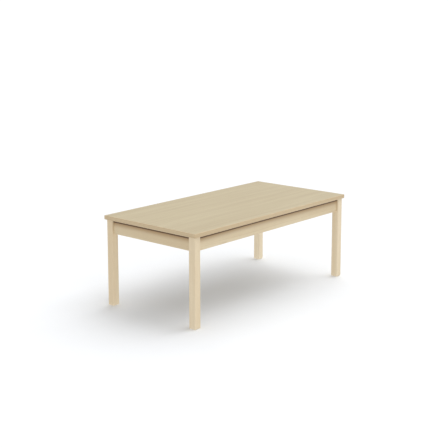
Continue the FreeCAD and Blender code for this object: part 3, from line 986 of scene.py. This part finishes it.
@dataclass
class UnderFrame:
    """Four square legs joined by four aprons."""

    leg_round: float = 5 * MM
    foot_chamfer: float = 3 * MM
    ease: float = 0.3 * MM
    flat: float = 10 * MM
    soft: float = 0.5 * MM
    arris_band: float = 6 * MM
    arris_wear_and_highlight: float = 0.8
    scuff_height: float = 18 * MM
    scuff_wear: float = 0.5

    def make(self) -> None:
        """Build the legs and dress the aprons."""
        for corner in Corner:
            self._leg(corner)
        for side, grain in SIDES:
            node = f"apron_{side}"
            dress_node(node, BIRCH_APRON.dress(f"birch_{node}", Stock(Box.of(node), grain)))

    def _leg(self, corner: Corner) -> None:
        """Build one leg.

        The section has five corners: three rounded ones, and two that share the inner arris. Below
        the aprons those two are eighths of a turn and make one round arris. Beside the aprons they
        are the ends of the flat behind the bracket. The foot is chamfered.

        Args:
            corner: Which leg.
        """
        node = f"leg_{corner.label}"
        box = Box.of(node)
        side = box.high[0] - box.low[0]
        foot, top, shelf = box.low[2], box.high[2], Box.of("apron_front").low[2]
        chamfer, ease = self.foot_chamfer, self.ease
        # Rows from the foot up: height, draw-in, and whether the flat is cut.
        rows = [
            (foot, chamfer, 0),
            (foot + ease, chamfer - 0.25 * MM, 0),
            (foot + chamfer - ease, ease, 0),
            (foot + chamfer + ease, 0.02 * MM, 0),
            (foot + chamfer + 4 * ease, 0.0, 0),
            *((height, 0.0, 0) for height in np.linspace(foot + 30 * MM, shelf - 0.2 * MM, 12)),
            (shelf, 0.0, 0),
            (shelf, 0.0, 1),
            (top, 0.0, 1),
        ]
        height, inset, cut = (np.array(column, float) for column in zip(*rows))
        low, high = inset, side - inset
        share = self.leg_round * (1 - math.tan(math.pi / 8))
        back = np.where(cut > 0, self.flat, share)
        corners = loops((low, low), (high, low), (high, high - back), (high - back, high), (low, high))
        round_off = np.maximum(self.leg_round - inset, self.soft)
        split = np.where(cut > 0, self.soft, round_off)
        radii = np.stack([round_off, round_off, split, split, round_off], axis=1)
        outline = softened(corners, radii, 6, 0.4 * MM)
        # Worn, and lightened as a painted highlight, where a point is close to two faces at once, and worn
        # towards the foot.
        scuff = np.exp(-(height - foot) / self.scuff_height)[:, None]
        further = np.max(np.minimum(outline, side - outline), axis=-1)
        arris = np.clip(1 - further / self.arris_band, 0, 1)
        wear = np.clip(arris * self.arris_wear_and_highlight + scuff * self.scuff_wear, 0, 1)
        skin = Skin.capped(risen(outline, height), wear).moved(corner.turn, corner.at(0.0, 0.0, 0.0))
        # The back right leg takes the lighter copy: painted light, not paler wood.
        birch = BIRCH_PAINTED_LIGHTER if corner is Corner.BACK_RIGHT else BIRCH
        material = birch.dress(f"birch_{node}", Stock(box, Grain.Z), "wear")
        stand_in(node, [skin], material)


@dataclass
class WoodScrew:
    """Pan-head wood screw with a cross recess, standing on Z 0 with its head below."""

    head_radius: float = 4 * MM
    head_height: float = 2.6 * MM
    recess_radius: float = 2.1 * MM
    recess_depth: float = 1.4 * MM
    recess_half: float = 0.42 * MM
    shank: float = 2 * MM
    length: float = 16 * MM
    point: float = 4 * MM
    pitch: float = 1.8 * MM
    thread: float = 0.45 * MM
    columns: int = 40

    def skins(self) -> list[Skin]:
        """Surfaces of one screw.

        The head's height is H (1 - (r / R)^3)^(1/3), less a cross with flat-sided arms whose depth
        falls from the middle to their ends. The shank is a thread that tapers to a point.

        Returns:
            The head and the shank.
        """
        radius = self.head_radius * np.sin(np.linspace(0, np.pi / 2, 16))[:, None]
        inner = np.linspace(0, self.recess_radius, 7)[1:, None]
        radius = np.unique(np.round(np.concatenate([radius, inner]), 7))[:, None]
        dome = self.head_height * np.clip(1 - (radius / self.head_radius) ** 3, 0, 1) ** (1 / 3)
        head = around(radius, angles(self.columns), -dome)
        off_arm = np.abs(head[..., :2]).min(axis=-1)
        wall = np.clip((self.recess_half - off_arm) / (0.25 * self.recess_half), 0, 1)
        slope = np.clip(1 - radius / self.recess_radius, 0, 1)
        head[..., 2] += self.recess_depth * slope * wall
        head = np.concatenate([head, np.zeros((1, self.columns, 3))])
        body = threaded(self.shank, self.thread, self.pitch, self.length, 12, 5)
        taper = np.clip((self.length - body[..., 2:]) / self.point, 0.02, 1)
        return [Skin(head), Skin.capped(narrowed(body, taper))]


@dataclass
class HexNut:
    """Chamfered hexagonal nut standing on Z 0."""

    across: float = 13 * MM
    height: float = 6.5 * MM
    bore: float = 4.02 * MM
    countersink: float = 0.5 * MM
    crown: float = 0.97
    columns: int = 60

    def skin(self) -> Skin:
        """Surface of the nut.

        The side is the hexagon a / cos(angle from the flat's middle). Both ends are cones of 30
        degrees from crown times a, which cut the corners in curved lines.

        Returns:
            A ring-shaped surface.
        """
        angle, flat = angles(self.columns), self.across / 2
        side = flat / np.cos((angle + np.pi / 6) % (np.pi / 3) - np.pi / 6)
        crown, sunk = self.crown * flat, self.bore + self.countersink
        drop = (side - crown) * math.tan(math.radians(30))
        end, lip = self.height, self.countersink
        radii = [self.bore, self.bore, sunk, crown, side, side, crown, sunk]
        heights = [lip, end - lip, end, end, end - drop, drop, 0.0, 0.0]
        radius, height = (np.stack([part + 0 * angle for part in parts]) for parts in (radii, heights))
        return Skin(around(radius, angle, height), looped=True)


@dataclass
class CornerJoints:
    """Folded brackets across the corners, drawn up by hanger bolts and held by screws."""

    drop: float = 40 * MM
    bolt_start: float = 22 * MM
    bolt_radius: float = 4 * MM
    bolt_length: float = 70 * MM
    wood_part: float = 34 * MM
    wood_point: float = 8 * MM
    wood_pitch: float = 3.0 * MM
    wood_thread: float = 0.9 * MM
    nut_pitch: float = 1.25 * MM
    nut_thread: float = 0.6 * MM
    reach: float = 110 * MM
    plate: float = 2.5 * MM
    washer_radius: float = 10 * MM
    washer: float = 1.6 * MM
    screw_place: float = 94 * MM
    screw_spacing: float = 36 * MM

    def make(self) -> None:
        """Dress the brackets and dowels, and build the bolts, washers, nuts and screws."""
        zinc = ZINC.dress("zinc_joints")
        apron, leg = Box.of("apron_front"), Box.of("leg_front_left")
        level = leg.high[2] - self.drop
        wing_face = apron.high[1] - leg.low[1] + self.plate
        web = (self.reach + self.plate * math.sqrt(2)) / math.sqrt(2)
        on_bolt = {
            "hanger_bolts": (self._bolt(), self.bolt_start),
            "bracket_washers": ([self._washer()], web),
            "bracket_nuts": ([HexNut().skin()], web + self.washer),
        }
        skins = {node: [] for node in (*on_bolt, "bracket_screws")}
        for corner in Corner:
            dress_node(f"corner_bracket_{corner.label}", zinc)
            turn = corner.turn @ aim((1, 1, 0))
            for node, (shapes, distance) in on_bolt.items():
                along = distance / math.sqrt(2)
                skins[node] += [shape.moved(turn, corner.at(along, along, level)) for shape in shapes]
            skins["bracket_screws"] += self._screws(corner, wing_face, level)
        for node, surfaces in skins.items():
            stand_in(node, surfaces, zinc)
        dress_node("dowels", BEECH.dress("beech_dowels", Stock(Box.of("dowels"), Grain.X)))

    def _bolt(self) -> list[Skin]:
        """Hanger bolt along Z: pointed coarse thread for the wood, then blunt fine thread for the nut.

        Returns:
            The two threads.
        """
        coarse = threaded(self.bolt_radius, self.wood_thread, self.wood_pitch, self.wood_part, 18, 8)
        taper = np.clip(0.35 + coarse[..., 2:] / self.wood_point, 0, 1)
        fine_length = self.bolt_length - self.wood_part
        fine = threaded(self.bolt_radius, self.nut_thread, self.nut_pitch, fine_length, 20, 6)
        fine = fine + np.array([0, 0, self.wood_part])
        blunt = np.clip(0.8 + 0.2 * (self.bolt_length - fine[..., 2:]) / MM, 0, 1)
        return [Skin.capped(narrowed(coarse, taper)), Skin.capped(narrowed(fine, blunt))]

    def _washer(self) -> Skin:
        """Flat washer on Z 0: a softened rectangle turned about Z.

        Returns:
            A ring-shaped surface.
        """
        inner = self.bolt_radius + 0.5 * MM
        outer, top = self.washer_radius, self.washer
        section = np.array([[inner, 0], [outer, 0], [outer, top], [inner, top]])
        outline = softened(section, np.full(4, 0.25 * MM), 4, 0.15 * MM)
        return Skin(lathe(outline, 40), looped=True)

    def _screws(self, corner: Corner, wing_face: float, level: float) -> Iterator[Skin]:
        """Four screws that hold one bracket's wings to the aprons.

        Args:
            corner: Which bracket.
            wing_face: Distance of the wings' inner faces from the leg's outer arris.
            level: Height of the bracket's middle.

        Yields:
            The surfaces of each screw.
        """
        for step in (-1, 1):
            height = level + step * self.screw_spacing / 2
            spots = (
                ((0, -1, 0), (self.screw_place, wing_face)),
                ((-1, 0, 0), (wing_face, self.screw_place)),
            )
            for number, (direction, (along, inward)) in enumerate(spots):
                turn = corner.turn @ aim(direction) @ spin(17 + 40 * number + 23 * step)
                for skin in WoodScrew().skins():
                    yield skin.moved(turn, corner.at(along, inward, height))


@dataclass
class TopFixings:
    """Steel angles that hold the top to the aprons, each with a screw into either."""

    names: tuple[str, ...] = ("left", "right", "front_left", "front_right", "back_left", "back_right")
    thickness: float = 2 * MM
    hole: float = 19 * MM

    def make(self) -> None:
        """Dress the angles and build their screws."""
        zinc = ZINC.dress("zinc_angles")
        to_apron, to_top = [], []
        for number, name in enumerate(self.names):
            node = f"top_angle_{name}"
            dress_node(node, zinc)
            box = Box.of(node)
            heading = np.array(INWARD[name.split("_")[0]], float)
            back = box.middle - heading * box.half
            back[2] = box.high[2]
            apron_spot = back + heading * self.thickness - np.array([0, 0, self.hole])
            top_spot = back + heading * self.hole - np.array([0, 0, self.thickness])
            for skin in WoodScrew().skins():
                to_apron.append(skin.moved(aim(-heading) @ spin(31 * number), apron_spot))
                to_top.append(skin.moved(spin(12 + 47 * number), top_spot))
        stand_in("angle_screws_apron", to_apron, zinc)
        stand_in("angle_screws_top", to_top, zinc)


@dataclass
class Feet:
    """Nylon glides nailed under the legs."""

    rounding: tuple[float, ...] = (0.4 * MM, 0.9 * MM, 0.25 * MM, 0.0, 0.0, 0.3 * MM)
    sink_radius: float = 6 * MM
    sink: float = 1.8 * MM
    nail_radius: float = 1.25 * MM
    nail_length: float = 20 * MM
    nail_point: float = 2 * MM
    nail_head: float = 4.5 * MM
    nail_head_height: float = 1 * MM

    def make(self) -> None:
        """Build the four glides and their nails."""
        nylon, zinc = NYLON.dress("nylon_glide"), ZINC.dress("zinc_nails")
        nails = []
        for corner in Corner:
            node = f"glide_{corner.label}"
            box = Box.of(node)
            radius, thick = box.half[0], box.high[2]
            wide, bore, sink = self.sink_radius, self.nail_radius, self.sink
            section = [[wide, 0], [radius, 0], [radius, thick], [bore, thick], [bore, sink], [wide, sink]]
            outline = softened(np.array(section), np.array(self.rounding), 6, 0.2 * MM)
            place = np.array([*box.middle[:2], 0.0])
            glide = Skin(lathe(outline, 72), looped=True).moved(np.eye(3), place)
            stand_in(node, [glide], nylon)
            nails.append(self._nail().moved(np.eye(3), place + np.array([0, 0, self.sink])))
        stand_in("glide_nails", nails, zinc)

    def _nail(self) -> Skin:
        """Nail on Z 0 with a domed head below, H sqrt(1 - 0.8 (r / R)^2) deep, and a pointed shank.

        Returns:
            The surface.
        """
        wide, thin = self.nail_head, self.nail_radius
        radius = wide * np.sin(np.linspace(0.02, np.pi / 2, 10))
        dome = -self.nail_head_height * np.sqrt(1 - 0.8 * (radius / wide) ** 2)
        length = self.nail_length
        shank = [[wide, 0], [thin, 0], [thin, length - self.nail_point], [0.1 * MM, length]]
        return Skin.capped(lathe(np.concatenate([np.stack([radius, dome], axis=-1), shank]), 28))


@dataclass(frozen=True)
class SoftLight:
    """A wide distant lamp: where its light comes from, its strength, and its spread in degrees."""

    name: str
    heading: float
    height: float
    strength: float
    spread: float = 60.0

    def hang(self) -> None:
        """Add the lamp, turned so that its light falls from heading (from +X) and height."""
        data = bpy.data.lights.new(self.name, "SUN")
        data.energy = self.strength
        data.angle = math.radians(self.spread)
        lamp = linked(self.name, data)
        lamp.rotation_euler = (math.radians(90 - self.height), 0.0, math.radians(self.heading + 90))


@dataclass
class Studio:
    """Pale floor, white surround, two wide lamps above, one bounce lamp below, and the camera."""

    floor_half: float = 16.0
    floor_cells: int = 8
    surround: float = 0.58
    backdrop: float = 1.1
    lamps: tuple[SoftLight, ...] = (
        SoftLight("key", heading=270, height=60, strength=0.60),
        SoftLight("side", heading=0, height=60, strength=1.47),
        SoftLight("bounce", heading=0, height=-90, strength=1.71, spread=170),
    )
    eye: tuple[float, float, float] = (-4.281, -3.637, 1.721)
    heading: float = 40.752
    dip: float = 9.124
    lens: float = 76.68
    shift_y: float = -0.15

    def make(self) -> None:
        """Build the floor, the lights and the camera."""
        self._floor()
        self._lights()
        self._camera()
        log.info("built the studio")

    def _floor(self) -> None:
        """Flat floor on Z 0: a grid of x and y over one level."""
        cells, row = self.floor_cells, self.floor_cells + 1
        side = np.linspace(-self.floor_half, self.floor_half, row)
        x, y = np.meshgrid(side, side)
        points = np.stack([x, y, 0 * x], axis=-1).reshape(-1, 3)
        corner = (np.arange(cells)[:, None] * row + np.arange(cells)[None, :]).reshape(-1)
        faces = np.stack([corner, corner + 1, corner + row + 1, corner + row], axis=-1)
        mesh = bpy.data.meshes.new("studio_floor")
        mesh.from_pydata(points, [], faces.tolist())
        mesh.materials.append(PAPER.dress("studio_paper"))
        floor = linked("studio_floor", mesh)
        # The bounce lamp shines up through the floor in place of the floor's own reflected light.
        floor.visible_diffuse = False
        floor.visible_shadow = False
        floor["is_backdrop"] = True

    def _lights(self) -> None:
        """White surround, which the camera sees as the backdrop, and the lamps."""
        world = bpy.data.worlds.new("studio")
        bpy.context.scene.world = world
        tree = Tree(world)
        seen = tree.node("ShaderNodeLightPath", {}, {})
        strength = self.surround + seen * (self.backdrop - self.surround)
        white = {"Color": (1.0, 1.0, 1.0, 1.0), "Strength": strength}
        tree.node("ShaderNodeOutputWorld", {}, {"Surface": tree.node("ShaderNodeBackground", {}, white)})
        for lamp in self.lamps:
            lamp.hang()

    def _camera(self) -> None:
        """Camera at eye, looking along heading from +X and down by dip."""
        data = bpy.data.cameras.new("camera")
        data.sensor_fit = "HORIZONTAL"
        data.sensor_width = 36.0
        data.lens = self.lens
        data.shift_y = self.shift_y
        data.clip_end = 200.0
        camera = linked("camera", data)
        camera.location = self.eye
        camera.rotation_euler = (math.radians(90 - self.dip), 0.0, math.radians(self.heading - 90))
        bpy.context.scene.camera = camera
        bpy.context.scene.view_settings.view_transform = "Standard"


def write_sizes() -> None:
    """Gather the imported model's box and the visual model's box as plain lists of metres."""
    boxes = {"cad": cad_box, "visual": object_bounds()}
    plain = {name: [list(corner) for corner in box] for name, box in boxes.items()}


def main() -> None:
    """Build the studio and every sub-assembly in order."""
    logging.basicConfig(level=logging.INFO, format="%(name)s: %(message)s")
    Studio().make()
    TableTop().make()
    UnderFrame().make()
    CornerJoints().make()
    TopFixings().make()
    Feet().make()
    write_sizes()


if __name__ == "__main__":
    main()
